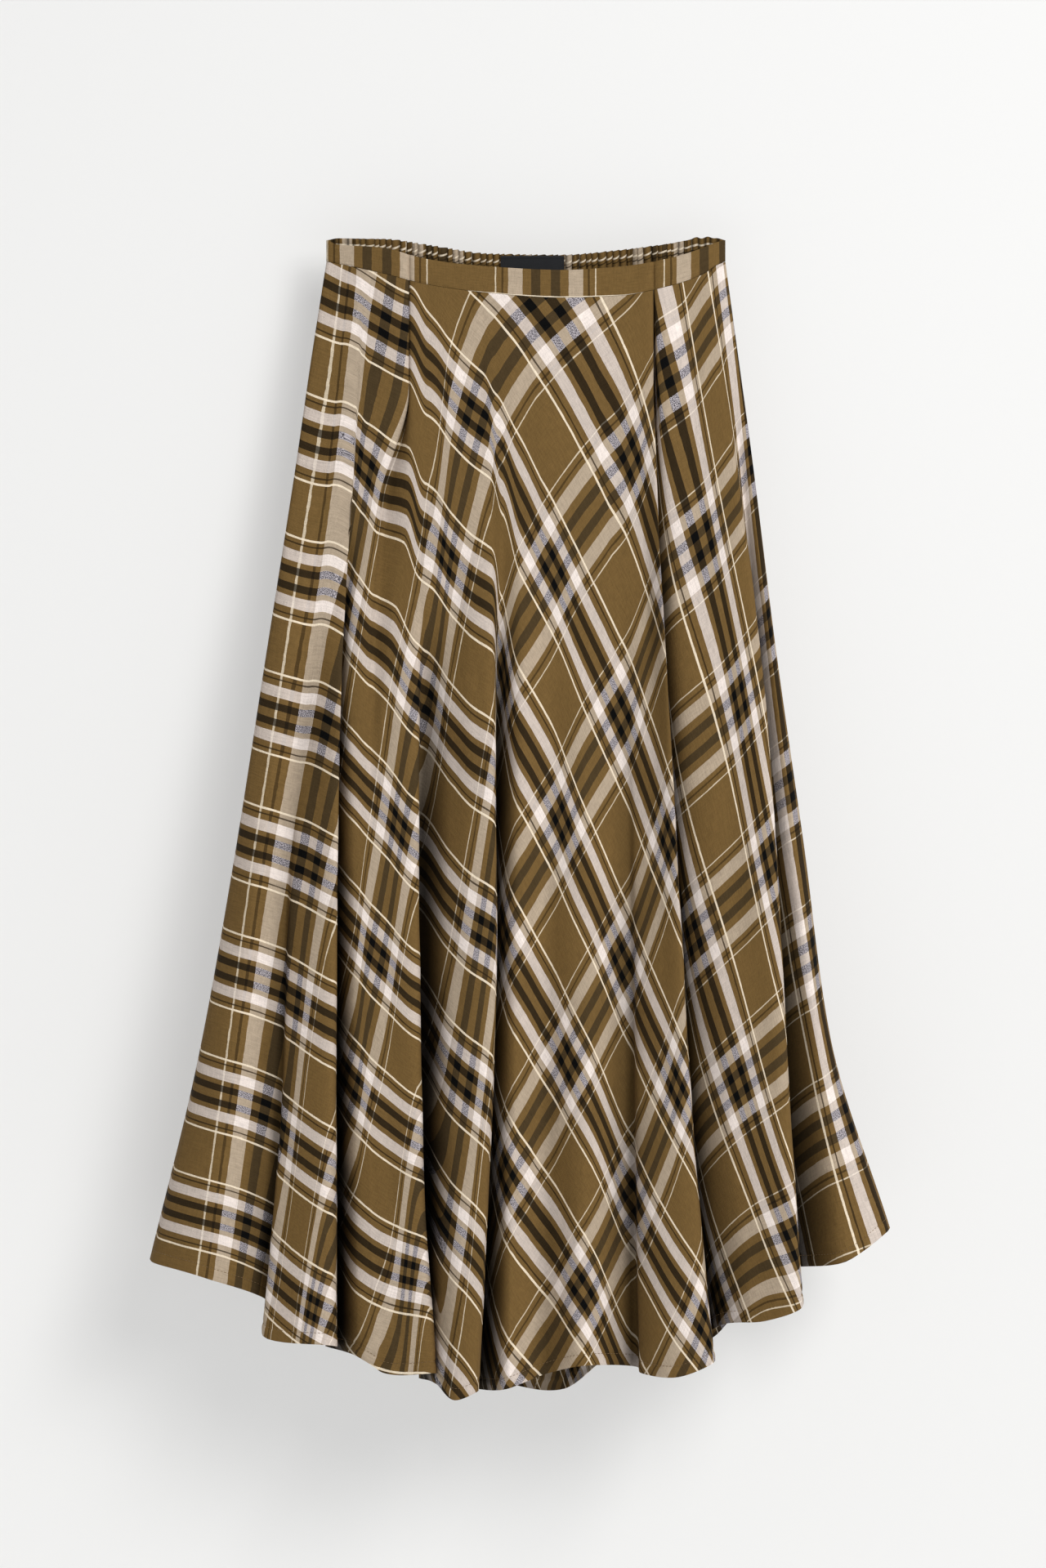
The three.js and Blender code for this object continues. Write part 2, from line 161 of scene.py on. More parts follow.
# Which check lies where a front fold line meets the waist seam and two heights below it, counted in
# repeats of the check:
# "across" counts the groups that run down the cloth on the left, "down" those that run across it.
CHECK_HEIGHTS = (-482, -822)
CHECKS = {
    # name: (across, down) at the waist seam, at the middle height, at the low height
    "side_left": ((-0.37, 0.81), (-0.41, 4.85), (-0.55, 8.24)),
    "flute_a": ((-0.32, 0.78), (-0.27, 4.77), (-0.27, 8.12)),
    "valley_ab": ((-0.27, 0.76), (-0.16, 4.71), (0.10, 7.88)),
    "flute_b_left": ((-0.24, 0.75), (-0.10, 4.69), (0.14, 7.70)),
    "flute_b_right": ((-0.20, 0.73), (0.13, 4.57), (1.00, 7.42)),
    "flute_c_left": ((-0.16, 0.70), (0.48, 4.29), (1.41, 6.92)),
    "tuck_left_out": ((0.05, 0.62), (0.66, 4.18), (1.53, 6.85)),
    "tuck_left_edge": ((0.32, 0.67), (0.85, 4.05), (1.68, 6.77)),
    "flute_c_right": ((0.44, 0.56), (1.14, 3.81), (2.09, 6.67)),
    "valley_cd": ((0.49, 0.51), (1.22, 3.74), (2.10, 6.40)),
    "flute_d_left": ((0.58, 0.42), (1.50, 3.50), (2.05, 6.10)),
    "flute_d": ((0.66, 0.34), (1.70, 3.36), (2.20, 5.95)),
    "flute_d_right": ((0.73, 0.26), (1.92, 3.27), (2.45, 5.80)),
    "flute_e_left": ((0.83, 0.14), (2.69, 2.35), (4.27, 4.21)),
    "dip_e": ((0.91, 0.03), (2.90, 2.09), (4.50, 3.98)),
    "flute_e_right": ((1.02, -0.12), (3.17, 1.74), (4.78, 3.68)),
    "valley_ef": ((1.11, -0.26), (3.45, 1.35), (5.11, 3.16)),
    "flute_f_left": ((1.17, -0.36), (3.53, 1.26), (5.17, 3.06)),
    "flute_f": ((1.25, -0.50), (3.76, 1.05), (5.42, 2.78)),
    "tuck_right_edge": ((1.37, -0.66), (3.97, 0.83), (5.68, 2.52)),
    "tuck_right_out": ((1.54, -1.10), (4.34, -0.26), (6.64, 0.74)),
    "flute_g_left": ((1.59, -1.25), (4.56, -0.63), (6.86, 0.32)),
    "flute_g": ((1.72, -1.65), (4.80, -1.15), (6.96, -0.06)),
    "flute_h": ((1.76, -1.83), (5.16, -1.88), (7.56, -1.64)),
    "side_right": ((1.77, -1.91), (5.22, -2.02), (7.68, -2.02)),
}
ACROSS_REPEAT = 0.140            # metres of cloth between two groups
DOWN_REPEAT = 0.106

# The back's check, as a quarter circle's grain: its turn from side to side in degrees, how far the
# waist lies from the circle's middle, and where the count of repeats starts
BACK_TURN, BACK_REACH, BACK_CHECK = 95, 230, (-0.55, -1.4)

# Curves


def cubic(u, a, b, slope_a, slope_b):
    """From a to b at shares u of the way, with the slopes at both ends."""
    return (a * (2 * u**3 - 3 * u**2 + 1) + b * (3 * u**2 - 2 * u**3)
            + slope_a * (u**3 - 2 * u**2 + u) + slope_b * (u**3 - u**2))


def smooth_at(knots, values, at):
    """Smooth values at places along knots, never past the values themselves."""
    knots, values, at = (np.asarray(a, float) for a in (knots, values, at))
    step = np.diff(values) / np.diff(knots)
    slope = np.concatenate([step[:1], np.zeros(len(knots) - 2), step[-1:]])
    same = step[:-1] * step[1:] > 0
    slope[1:-1][same] = (2 * step[:-1] * step[1:])[same] / (step[:-1] + step[1:])[same]
    k = np.clip(np.searchsorted(knots, at, side="left") - 1, 0, len(knots) - 2)
    span = knots[k + 1] - knots[k]
    u = np.clip((at - knots[k]) / span, 0, 1)
    return cubic(u, values[k], values[k + 1], slope[k] * span, slope[k + 1] * span)


def waist_height(edge, x):
    """Height at x of one of the WAIST table's edges."""
    return smooth_at(WAIST[:, 0], WAIST[:, edge], np.clip(x, WAIST_LEFT, WAIST_RIGHT))


def bow_share(x, left, right):
    """1 in the middle between left and right, falling to 0 at both, as a circle does."""
    u = np.clip((2 * x - left - right) / (right - left), -1, 1)
    return np.sqrt(np.maximum(0, 1 - u * u))


def bow_at(t):
    """How far front and back bow out at share t of the length."""
    return WAIST_BOW * (1 - t) + BODY_BOW * t * (1 - t)


def side_x(t):
    """x of both side seams at share t of the length."""
    return (float(smooth_at(LEVELS, FRONT_FOLDS[0][1], t)),
            float(smooth_at(LEVELS, FRONT_FOLDS[-1][1], t)))


def front_fold_point(fold, t):
    """Where a front fold line is at share t of its length."""
    _, xs, hem, depth, start, tuck_out = fold
    left, right = side_x(t)
    x = float(smooth_at(LEVELS, xs, t))
    top = float(waist_height(FRONT_SEAM, xs[0]))
    growth = max(0, (t - start) / (1 - start))
    if depth > 0:
        growth **= VALLEY_RISE
    y = depth * growth - bow_at(t) * bow_share(x, left, right) - GAP / 2
    if tuck_out:
        y += TUCK_DEPTH * max(0, 1 - max(0, t - TUCK_END) / tuck_out)
    return (x, y, top + (hem - top) * t)


def back_fold_point(fold, t):
    """Where a back fold line is at share t of its length."""
    waist, foot, hem, depth, start = fold
    left, right = side_x(t)
    x = left + (right - left) * (waist + (foot - waist) * t)
    top = float(waist_height(BACK_SEAM, WAIST_LEFT + (WAIST_RIGHT - WAIST_LEFT) * waist))
    y = depth * max(0, (t - start) / (1 - start)) + bow_at(t) * bow_share(x, left, right) + GAP / 2
    return (x, y, top + (hem - top) * t)


SIDE_TURN = (0.12, 0.45, 0.12)   # shares of the first span in x, y and z, where a side seam rounds
NARROWEST = 1e-4


def level_line(folds, fold_point, t, steps):
    """One level line of a panel, a centripetal curve through its fold lines, rounded at the sides."""
    p = np.array([fold_point(fold, t) for fold in folds], float)
    p = np.vstack([p[:1], p[:1] + (p[1] - p[0]) * SIDE_TURN, p[1:-1],
                   p[-1:] + (p[-2] - p[-1]) * SIDE_TURN, p[-1:]])
    e = np.vstack([2 * p[0] - p[1], p, 2 * p[-1] - p[-2]])
    u = np.linspace(0, 1, steps, endpoint=False)[:, None]
    line = []
    for a, b, c, d in zip(e, e[1:], e[2:], e[3:]):
        ab, bc, cd = (max(math.sqrt(math.dist(i, j)), NARROWEST) for i, j in ((a, b), (b, c), (c, d)))
        slope_b = ((b - a) / ab - (c - a) / (ab + bc) + (c - b) / bc) * bc
        slope_c = ((c - b) / bc - (d - b) / (bc + cd) + (d - c) / cd) * bc
        line.append(cubic(u, b, c, slope_b, slope_c))
    return np.vstack(line + [p[-1:]])


def panel_grid(folds, fold_point, seam, steps, rows):
    """The panel's outer surface as rows x columns x 3."""
    grid = np.array([level_line(folds, fold_point, t, steps) for t in rows])
    waist = level_line(folds, fold_point, 0, steps)
    hem = level_line(folds, fold_point, 1, steps)
    top = waist_height(seam, waist[:, 0]) - GAP / 2
    grid[..., 2] = top + (hem[:, 2] - top) * rows[:, None]
    return grid


def normals(grid, outward):
    """Unit normals of a grid, turned to the front by outward -1 and to the back by 1."""
    across = np.gradient(grid, axis=1)
    down = np.gradient(grid, axis=0)
    n = np.cross(across, down) * outward
    return n / np.maximum(np.linalg.norm(n, axis=2, keepdims=True), TINY)


def arc_lengths(grid, axis):
    """Lengths along the grid's rows (axis 1) or columns (axis 0) from their start."""
    step = np.linalg.norm(np.diff(grid, axis=axis), axis=2)
    zero = np.zeros_like(np.take(step, [0], axis=axis))
    return np.concatenate([zero, np.cumsum(step, axis=axis)], axis=axis)


def bump(x, width):
    """1 at 0, falling softly to 0 at the width."""
    u = np.clip(np.abs(x) / width, 0, 1)
    return (1 - u * u) ** 2


def edge_fade(columns, over):
    """0 at both sides, rising to 1 over so many columns."""
    column = np.arange(columns)
    return np.minimum(1, np.minimum(column, column[::-1]) / over)


def thinned(fade, edge):
    """A share that falls to edge where the fade is 0."""
    return edge + (1 - edge) * fade


SIDE_CLEAR_FROM, SIDE_CLEAR_OVER = 0.2, 0.4


def clear_of_sides(share):
    """0 near both side seams and 1 in the middle, where ruches and gathers are full."""
    return np.clip((4 * share * (1 - share) - SIDE_CLEAR_FROM) / SIDE_CLEAR_OVER, 0, 1)


RIPPLE_WAVES, RIPPLE_SCALE = 7, 4


def ripple(x, y, seed):
    """Slow, uneven ripples, mostly between -1 and 1."""
    rng = np.random.default_rng(seed)
    total = np.zeros(np.broadcast(x, y).shape)
    for _ in range(RIPPLE_WAVES):
        a, b = rng.normal(size=2)
        total = total + np.sin(x * a + y * b + rng.uniform(0, 2 * math.pi))
    return total / RIPPLE_SCALE


# How much shade is painted on the cloth between two folds, in millimetres at the waist and what is
# added at the hem
HOLLOW_REACH = 30                # how far to each side the crests are looked for
HOLLOW_LOWER = 0.7               # weight of the lower of the two crests
HOLLOW_FROM, HOLLOW_OVER = (4, 5), (12, 20)
FAR_BACK = -1e9


def painted_fold_shade(grid, outward, rows):
    """0 on the crests to 1 deep between two folds: how much shade is painted there on the cloth."""
    result = np.zeros(grid.shape[:2])
    for r, (x, y) in enumerate(zip(grid[..., 0], grid[..., 1] * outward)):
        near = np.abs(x[:, None] - x[None, :]) < HOLLOW_REACH
        right = np.where(near & (x[None, :] >= x[:, None]), y[None, :], FAR_BACK).max(1)
        left = np.where(near & (x[None, :] <= x[:, None]), y[None, :], FAR_BACK).max(1)
        crest = HOLLOW_LOWER * np.minimum(left, right) + (1 - HOLLOW_LOWER) * np.maximum(left, right)
        start, over = (waist + more * rows[r] for waist, more in (HOLLOW_FROM, HOLLOW_OVER))
        result[r] = (crest - y - start) / over
    return np.clip(result, 0, 1)


# Meshes

SHARP_ANGLE = 60


def shell(name, outer, inner, checks, painted_shade=None):
    """A closed thin wall between two grids of points. checks are the check's coordinates, its UV map
    "check", and the last argument is the shade painted on the outer and the inner side, its UV map
    "place"."""
    rows, cols = outer.shape[:2]
    n = rows * cols
    verts = np.vstack([outer.reshape(-1, 3), inner.reshape(-1, 3)]) * MM
    index = np.arange(n).reshape(rows, cols)
    a, b = index[:-1, :-1], index[:-1, 1:]
    d, c = index[1:, :-1], index[1:, 1:]
    front = np.stack([a, d, c, b], -1).reshape(-1, 4)
    back = np.stack([a, b, c, d], -1).reshape(-1, 4) + n
    ring = np.concatenate([index[0, :-1], index[:-1, -1], index[-1, :0:-1], index[:0:-1, 0]])
    follow = np.roll(ring, -1)
    rim = np.stack([ring, follow, follow + n, ring + n], -1)
    faces = np.vstack([front, back, rim])
    if np.mean(outer[..., 1]) > np.mean(inner[..., 1]):
        faces = faces[:, ::-1]
    mesh = bpy.data.meshes.new(name)
    mesh.vertices.add(len(verts))
    mesh.vertices.foreach_set("co", verts.ravel())
    mesh.loops.add(faces.size)
    mesh.loops.foreach_set("vertex_index", faces.ravel())
    mesh.polygons.add(len(faces))
    mesh.polygons.foreach_set("loop_start", np.arange(len(faces)) * 4)
    mesh.update(calc_edges=True)
    mesh.validate()
    loops = np.empty(len(mesh.loops), int)
    mesh.loops.foreach_get("vertex_index", loops)
    maps = {"check": np.vstack([checks.reshape(-1, 2)] * 2)}
    if painted_shade is not None:
        place = np.concatenate([side.ravel() for side in painted_shade])
        maps["place"] = np.stack([place, place], -1)
    for map_name, values in maps.items():
        mesh.uv_layers.new(name=map_name).data.foreach_set("uv", values[loops].ravel())
    mesh.shade_smooth()
    mesh.set_sharp_from_angle(angle=math.radians(SHARP_ANGLE))
    return place_object(name, mesh)


# Listed creases: x at the upper and lower end, heights of both, depth (a groove is negative)
# and width
FRONT_CREASES = [
    (-5, -7, -700, -940, -1.8, 7),
    (52, 54, -800, -940, -1.5, 8),
    (-113, -116, -380, -450, -1.3, 5),
    (-182, -196, -330, -620, 0.9, 16),
    (-208, -232, -520, -840, -1.0, 15),
    (16, 24, -120, -330, 0.9, 20),
    (-34, -42, -90, -190, -0.9, 12),
    (70, 84, -150, -380, -0.9, 16),
    (96, 100, -90, -300, 0.8, 12),
    (136, 150, -80, -260, -0.9, 12),
    (176, 190, -300, -560, 0.9, 14),
    (-64, -58, -560, -860, 0.9, 10),
    (108, 118, -600, -860, -1.0, 14),
    (190, 206, -560, -860, -1.1, 13),
    (36, 34, -480, -800, 0.9, 16),
    (-182, -190, -640, -900, 0.8, 10),
]
BACK_CREASES = [
    (-120, -150, -60, -330, -1.0, 14),
    (-60, -84, -50, -420, 0.9, 18),
    (-10, -14, -60, -300, -1.0, 12),
    (46, 60, -50, -380, 0.9, 16),
    (112, 140, -60, -420, -1.0, 16),
    (-190, -226, -420, -820, 0.9, 14),
    (30, 44, -460, -900, -1.1, 14),
    (150, 176, -500, -860, 0.9, 15),
]
CREASE_ENDS = 4                  # a crease fades out over a quarter of its length at each end

# Fine ripples: height, size across and down, seed, and how far below the waist they are full
FRONT_RIPPLES = [(0.55, 17, 60, 3, 60), (0.25, 6, 22, 8, 40)]
BACK_RIPPLES = [(0.55, 17, 60, 13, 60)]
PUCKER_EVERY, PUCKER_UNEVEN, PUCKER_DRIFT, PUCKER_SEED = 4.5, 2, 40, 5


def crease(x, z, table):
    """How far the listed creases move the cloth out."""
    total = np.zeros(x.shape)
    for x_up, x_low, z_up, z_low, depth, width in table:
        along = (z_up - z) / (z_up - z_low)
        inside = np.clip(np.minimum(along, 1 - along) * CREASE_ENDS, 0, 1)
        inside = inside * inside * (3 - 2 * inside)
        total += depth * inside * bump(x - (x_up + (x_low - x_up) * along), width)
    return total


FRONT_STEPS, BACK_STEPS = 8, 12  # columns between two fold lines
FRONT_ROWS = np.concatenate([np.linspace(0, 0.985, 150), np.linspace(0.987, 1, 8)])
BACK_ROWS = np.concatenate([np.linspace(0, 0.985, 110), np.linspace(0.988, 1, 6)])
# How much shade is painted evenly over a panel's or band's inner side
INSIDE_PAINTED_SHADE = 0.3


def down_columns(z, heights, at):
    """Smooth values down each column through three heights, straight on below the last."""
    upper = (at[1] - at[0]) / (heights[1] - heights[0])
    lower = (at[2] - at[1]) / (heights[2] - heights[1])
    mid = (upper + lower) / 2

    def stretch(k, slope_a, slope_b):
        span = heights[k + 1] - heights[k]
        u = (z - heights[k]) / span
        value = cubic(np.clip(u, 0, 1), at[k], at[k + 1], slope_a * span, slope_b * span)
        return value + slope_b * span * np.maximum(u - 1, 0)

    return np.where(z >= heights[1], stretch(0, 2 * upper - mid, mid), stretch(1, mid, 2 * lower - mid))


def front_checks(grid):
    """The check's coordinates over the front panel, from the CHECKS table."""
    folds = [fold[0] for fold in FRONT_FOLDS]
    names = folds[:1] + ["turn"] + folds[1:-1] + ["turn"] + folds[-1:]
    known = [i * FRONT_STEPS for i, name in enumerate(names) if name in CHECKS]
    rows = [CHECKS[name] for name in names if name in CHECKS]
    z = grid[..., 2]
    width = arc_lengths(grid, 1)
    middle = z[:, z.shape[1] // 2]
    levels = [0] + [int(np.argmin(np.abs(middle - height))) for height in CHECK_HEIGHTS]
    result = np.empty(grid.shape[:2] + (2,))
    for axis in (0, 1):
        at = [smooth_at(width[level][known], [row[k][axis] for row in rows], width[level])
              for k, level in enumerate(levels)]
        result[..., axis] = down_columns(z, (z[0],) + CHECK_HEIGHTS, at)
    return result


def panel_shell(name, grid, outward, rows, finer, checks):
    """A panel's shell: its grid moved out by the finer form, with a turned hem and thin side seams."""
    length = arc_lengths(grid, 0)
    from_hem = length[-1] - length
    x, z = grid[..., 0], grid[..., 2]
    ripples, creases, pucker = finer
    move = sum(height * ripple(x / across, z / down, seed) * np.clip(length / full, 0, 1)
               for height, across, down, seed, full in ripples)
    move += crease(x, z, creases)
    move -= HEM_GROOVE * bump(from_hem - HEM_TURN, HEM_GROOVE_WIDTH)
    move += HEM_PUFF * bump(from_hem - HEM_TURN / 2, HEM_TURN / 2)
    move += HEM_PUCKER * pucker * bump(from_hem - HEM_TURN, HEM_PUCKER_REACH)
    fade = edge_fade(grid.shape[1], EDGE_COLUMNS)
    n = normals(grid, outward)
    outer = grid + n * (move * fade)[..., None]
    inner = outer - n * (CLOTH * thinned(fade, EDGE_CLOTH))[..., None]
    # Painted shade: darker deep between two folds on the outer side, evenly darker on the inner side
    painted_shade = painted_fold_shade(grid, outward, rows)
    return shell(name, outer, inner, checks, (painted_shade, np.full(painted_shade.shape, INSIDE_PAINTED_SHADE)))


def panel_front():
    grid = panel_grid(FRONT_FOLDS, front_fold_point, FRONT_SEAM, FRONT_STEPS, FRONT_ROWS)
    width = arc_lengths(grid, 1)
    drift = PUCKER_UNEVEN * ripple(width / PUCKER_DRIFT, 0 * width, PUCKER_SEED)
    pucker = np.sin(width / PUCKER_EVERY + drift)
    return panel_shell("skirt_front", grid, -1, FRONT_ROWS, (FRONT_RIPPLES, FRONT_CREASES, pucker),
                       front_checks(grid))


def panel_back():
    grid = panel_grid(BACK_FOLDS, back_fold_point, BACK_SEAM, BACK_STEPS, BACK_ROWS)
    share = np.arange(grid.shape[1]) / (grid.shape[1] - 1)
    fade = np.maximum(0, 1 - BACK_ROWS / GATHER_END)[:, None]
    wave = np.cos(2 * math.pi * BACK_GATHERS * share) - 1
    grid[..., 1] += GATHER_DEPTH / 2 * fade * clear_of_sides(share) * wave
    # A quarter circle's grain, from straight on one side to straight across on the other
    turn = np.radians(BACK_TURN * share)
    reach = BACK_REACH + arc_lengths(grid, 0)
    checks = np.stack([reach * np.sin(turn) * MM / ACROSS_REPEAT + BACK_CHECK[0],
                       reach * np.cos(turn) * MM / DOWN_REPEAT + BACK_CHECK[1]], -1)
    return panel_shell("skirt_back", grid, 1, BACK_ROWS, (BACK_RIPPLES, BACK_CREASES, 0), checks)


# How a band's edge is rounded: by how much, and how far in from the edge
FRONT_TOP_ROUND, FRONT_SEAM_ROUND, BACK_TOP_ROUND = (0.6, 2.6), (0.5, 1.8), (0.5, 2.6)


def rounded(from_edge, by, reach):
    return by * bump(from_edge, reach)


def band_shell(name, grid, outward, move, rounding, checks, painted_shade):
    """A waistband's shell, rounded at its edges."""
    fade = edge_fade(grid.shape[1], EDGE_BAND_COLUMNS)
    n = normals(grid, outward)
    outer = grid + n * (move * fade)[..., None]
    inner = grid - n * ((BAND_CLOTH - rounding) * thinned(fade, EDGE_BAND))[..., None]
    return shell(name, outer, inner, checks, painted_shade)


# The front band's check: where a group's middle lies, its repeat, and its height in the other
# stripes, which bow up a little between two places
BAND_GROUP_X, BAND_REPEAT = 17, 140
BAND_STRIPES, BAND_STRIPES_DOWN = 0.4525, 0.245
BAND_STRIPES_BOW, BAND_BOW_X, BAND_BOW_HALF = 0.010, 25, 75
BAND_RIPPLE = (0.3, 13, 9, 21)   # height, size across and down, seed
BAND_TUCKED = TUCK_DEPTH / 5     # what lies further back than this is a tuck, behind the band


def band_front():
    line = panel_grid(FRONT_FOLDS, front_fold_point, FRONT_SEAM, FRONT_STEPS, np.array([0.0, 1.0]))[0]
    behind = line[:, 1] + WAIST_BOW * bow_share(line[:, 0], WAIST_LEFT, WAIST_RIGHT)
    line = line[behind < BAND_TUCKED]
    share = (line[:, 0] - WAIST_LEFT) / (WAIST_RIGHT - WAIST_LEFT)
    down = np.concatenate([np.linspace(0, 0.1, 5), np.linspace(0.15, 0.9, 12),
                           np.linspace(0.94, 1, 4)])[:, None]
    x = np.broadcast_to(line[:, 0], (len(down), len(line)))
    top = waist_height(FRONT_TOP, line[:, 0])
    seam = waist_height(FRONT_SEAM, line[:, 0]) + GAP / 2
    z = top + (seam - top) * down
    y = line[:, 1] - BAND_PROUD * clear_of_sides(share) + 0 * z
    rounding = (rounded(down * BAND_HEIGHT, *FRONT_TOP_ROUND)
                + rounded((1 - down) * BAND_HEIGHT, *FRONT_SEAM_ROUND))
    height, wide, high, seed = BAND_RIPPLE
    move = height * ripple(x / wide, z / high, seed) - rounding
    stripes = (BAND_STRIPES + BAND_STRIPES_DOWN * down
               + BAND_STRIPES_BOW * (1 - ((x - BAND_BOW_X) / BAND_BOW_HALF) ** 2))
    checks = np.stack([(x - BAND_GROUP_X) / BAND_REPEAT + 1, stripes], -1)
    # The front band's inner side gets the even painted shade, its outer side none
    return band_shell("band_front", np.stack([x, y, z], -1), -1, move, rounding, checks,
                      (0 * z, np.full(z.shape, INSIDE_PAINTED_SHADE)))


RUCHE_STEPS, BACK_BAND_ROWS, RUCHE_SEED = 8, 20, 4
RUCHE_SPREAD = [(-0.32, 0.32), (-0.25, 0.25), (0.5, 1.15)]   # of each ruche's place, lean and height
RUCHE_TOP, RUCHE_TOP_LEAD = 0.5, 1       # the ruches' waves in the top edge, and how far ahead
RUCHE_PAINTED_SHADE, RUCHE_INSIDE_SHADE = 0.9, 0.05     # shade painted in the troughs, and the least of it on the inside
ELASTIC_END_X, ELASTIC_END_HALF, ELASTIC_END_RISE = 148, 15, 1.8
ELASTIC_FOLD_X, ELASTIC_FOLD = 137, 3.4
BACK_BAND_REPEATS, BACK_BAND_STRIPES, BACK_BAND_STRIPES_DOWN = 3.6, 0.645, 0.25
STRIPES_PULL, STRIPES_PULL_LEAD = 0.012, 0.8     # how the ruches bend the stripes


def band_back():
    share = np.arange(RUCHES * RUCHE_STEPS + 1) / (RUCHES * RUCHE_STEPS)
    down = np.linspace(0, 1, BACK_BAND_ROWS)[:, None]
    x = WAIST_LEFT + (WAIST_RIGHT - WAIST_LEFT) * share
    top = waist_height(BACK_TOP, x)
    seam = waist_height(BACK_SEAM, x) + GAP / 2
    rng = np.random.default_rng(RUCHE_SEED)
    wander, lean, height = (
        np.interp(share * RUCHES, np.arange(RUCHES + 1), rng.uniform(low, high, RUCHES + 1))
        for low, high in RUCHE_SPREAD)
    phase = 2 * math.pi * (RUCHES * share + wander + lean * (down - 0.5))
    clear = clear_of_sides(share)
    z = top + (seam - top) * down + RUCHE_TOP * clear * np.cos(phase + RUCHE_TOP_LEAD) * (1 - down)
    z = np.minimum(z, 0)
    # The bunched end of the elastic at the right
    bunched = np.sin((x - ELASTIC_FOLD_X) / ELASTIC_FOLD) ** 2
    bunched = bunched * bump(x - ELASTIC_END_X, ELASTIC_END_HALF)
    z = z + ELASTIC_END_RISE * (1 - down) ** 2 * bunched
    bow = WAIST_BOW * bow_share(x, WAIST_LEFT, WAIST_RIGHT)
    y = bow + RUCHE_DEPTH * height * clear * np.cos(phase) + GAP / 2 + BAND_PROUD * clear
    rounding = rounded(down * BAND_HEIGHT, *BACK_TOP_ROUND)
    stripes = (BACK_BAND_STRIPES + BACK_BAND_STRIPES_DOWN * down
               + STRIPES_PULL * clear * np.cos(phase + STRIPES_PULL_LEAD))
    checks = np.stack([share * BACK_BAND_REPEATS + 0 * z, stripes], -1)
    # Shade painted in the ruches' troughs, as they lie seen from each side of the band
    trough = 0.5 + 0.5 * np.cos(phase)
    return band_shell("band_back", np.stack([x + 0 * z, y, z], -1), 1, -rounding, rounding, checks,
                      (RUCHE_PAINTED_SHADE * (1 - trough), RUCHE_INSIDE_SHADE + RUCHE_PAINTED_SHADE * trough))


LABEL_COLUMNS, LABEL_ROWS = 60, 24
LABEL_FORWARD = 0.2              # of the middle of its CAD box
LABEL_WAVES = ((0.22, 7.5, 0, 0.6), (0.10, 17, 2, 0))    # height, turns across and down, start
END_FOLD, END_FOLD_AT, END_FOLD_HALF = 0.15, 2.2, 1.6
SEWN_IN, SEWN_AT, SEWN_HALF = 0.18, 1.2, 1.0


def waist_label():
    """A woven ribbon, bare, folded under at both ends and sewn inside the back waistband."""
    low, high = (np.array(corner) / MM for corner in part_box("label"))
    across, down = np.meshgrid(np.linspace(0, 1, LABEL_COLUMNS), np.linspace(0, 1, LABEL_ROWS))
    x = low[0] + (high[0] - low[0]) * across
    z = high[2] + (low[2] - high[2]) * down
    from_end = np.minimum(across, 1 - across) * LABEL_WIDTH
    wave = sum(height * np.sin(across * turns + down * turns_down + start)
               for height, turns, turns_down, start in LABEL_WAVES)
    wave -= SEWN_IN * bump(down * LABEL_HEIGHT - SEWN_AT, SEWN_HALF)
    wave += END_FOLD * bump(from_end - END_FOLD_AT, END_FOLD_HALF)
    y = (low[1] + high[1]) / 2 - LABEL_FORWARD + wave
    outer = np.stack([x, y, z], -1)
    return shell("waist_label", outer, outer + (0, LABEL_CLOTH, 0), np.stack([across, down], -1))


STITCH_PITCH, STITCH_LENGTH, STITCH_HALF, STITCH_CROWN = 3.2, 2.1, 0.2, 0.16
STITCH_MIDDLE = 1                # where along it its direction out of the cloth is taken
STITCH_CLEAR = 4                 # of the side seams
STITCH_PROFILE = ((0, -0.1), (0.3, 0.16), (0.7, 0.16), (1, -0.1))    # share along it, height


def hem_stitches(name, panel, rows, outward):
    """Short sewn stitches along the turned hem of a panel, as one joined mesh."""
    co = np.empty(len(panel.data.vertices) * 3)
    panel.data.vertices.foreach_get("co", co)
    outer = co.reshape(2, rows, -1, 3)[0] / MM
    from_hem = arc_lengths(outer[::-1], 0)

    def on_turn(values):
        return np.array([[np.interp(HEM_TURN, from_hem[:, c], values[::-1, c, k]) for k in range(3)]
                         for c in range(outer.shape[1])])

    line, out = on_turn(outer), on_turn(normals(outer, outward))
    along = np.concatenate([[0], np.cumsum(np.linalg.norm(np.diff(line, axis=0), axis=1))])

    def at(values, place):
        return np.array([np.interp(place, along, values[:, k]) for k in range(3)])

    verts, faces = [], []
    for start in np.arange(STITCH_CLEAR, along[-1] - STITCH_CLEAR, STITCH_PITCH):
        first, last = at(line, start), at(line, start + STITCH_LENGTH)
        lift = at(out, start + STITCH_MIDDLE)
        direction = (last - first) / max(np.linalg.norm(last - first), TINY)
        side = np.cross(lift, direction) * STITCH_HALF
        base = len(verts)
        for share, height in STITCH_PROFILE:
            p = first + (last - first) * share + lift * height
            verts += [p - side, p + lift * STITCH_CROWN, p + side]
        for a in (base, base + 3, base + 6):
            faces += [(a, a + 1, a + 4, a + 3), (a + 1, a + 2, a + 5, a + 4), (a + 2, a, a + 3, a + 5)]
        faces += [(base, base + 2, base + 1), (base + 9, base + 10, base + 11)]
    mesh = bpy.data.meshes.new(name)
    mesh.from_pydata((np.array(verts) * MM).tolist(), [], faces)
    mesh.update()
    mesh.shade_smooth()
    return place_object(name, mesh)


# Materials


def new_material(name):
    material = bpy.data.materials.new(name)
    material.use_nodes = True
    return material, material.node_tree, material.node_tree.nodes["Principled BSDF"]


